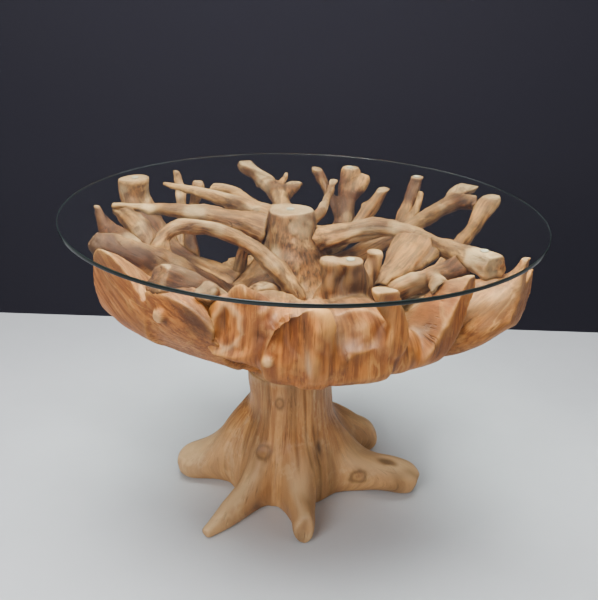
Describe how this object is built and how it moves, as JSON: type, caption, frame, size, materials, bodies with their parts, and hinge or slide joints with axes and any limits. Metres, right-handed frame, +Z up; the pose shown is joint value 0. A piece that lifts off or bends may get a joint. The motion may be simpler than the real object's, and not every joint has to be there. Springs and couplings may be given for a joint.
{
  "type": "dining table",
  "caption": "Round glass-topped dining table on an upturned teak root crown and a root-footed stump.",
  "frame": {"origin": "on the floor, under the centre of the round glass", "axes": "+Z up, -Y the front as seen in the picture, +X to the right of that view"},
  "size_m": [1.1998, 1.2, 0.77],
  "materials": {
    "glass": "clear float glass, polished edge",
    "pad": "clear soft pad",
    "rod": "zinc-plated steel",
    "dowel": "raw hardwood",
    "stump": "sanded teak, oiled",
    "crown": "cleaned teak root",
    "rim": "sanded teak, oiled",
    "root": "weathered teak root"
  },
  "bodies": {
    "base": {"back_post": "root", "broken_stub": "root", "front_left_root": "rim", "front_nose_root": "rim", "front_rib": "rim", "front_stub_root": "rim", "glass_pads": "pad", "inner_prop": "root", "left_arch": "root", "left_block": "root", "left_cross_limb": "root", "left_front_root": "rim", "left_rear_root": "root", "left_slab": "rim", "left_tall_post": "root", "left_thin_post": "root", "middle_left_arm": "root", "rear_arm": "root", "rear_left_stub": "root", "rear_right_arm": "root", "rear_right_post": "root", "rear_right_stub": "root", "rear_stub": "root", "right_arm": "root", "right_brace": "root", "right_front_slab": "rim", "right_lower_limb": "root", "right_slab": "rim", "right_stub": "root", "right_web": "root", "root_crown": "crown", "seat_dowels": "dowel", "slant_stick": "root", "squared_limb": "root", "stump": "stump", "thin_strut": "root", "tie_rod": "rod", "upper_left_arm": "root"},
    "glass": {"glass_top": "glass"}
  },
  "joints": [
    {"name": "glass_lift", "type": "slide", "parent": "base", "child": "glass", "axis": [0, 0, 1], "range_m": [0, 0.2]}
  ]
}
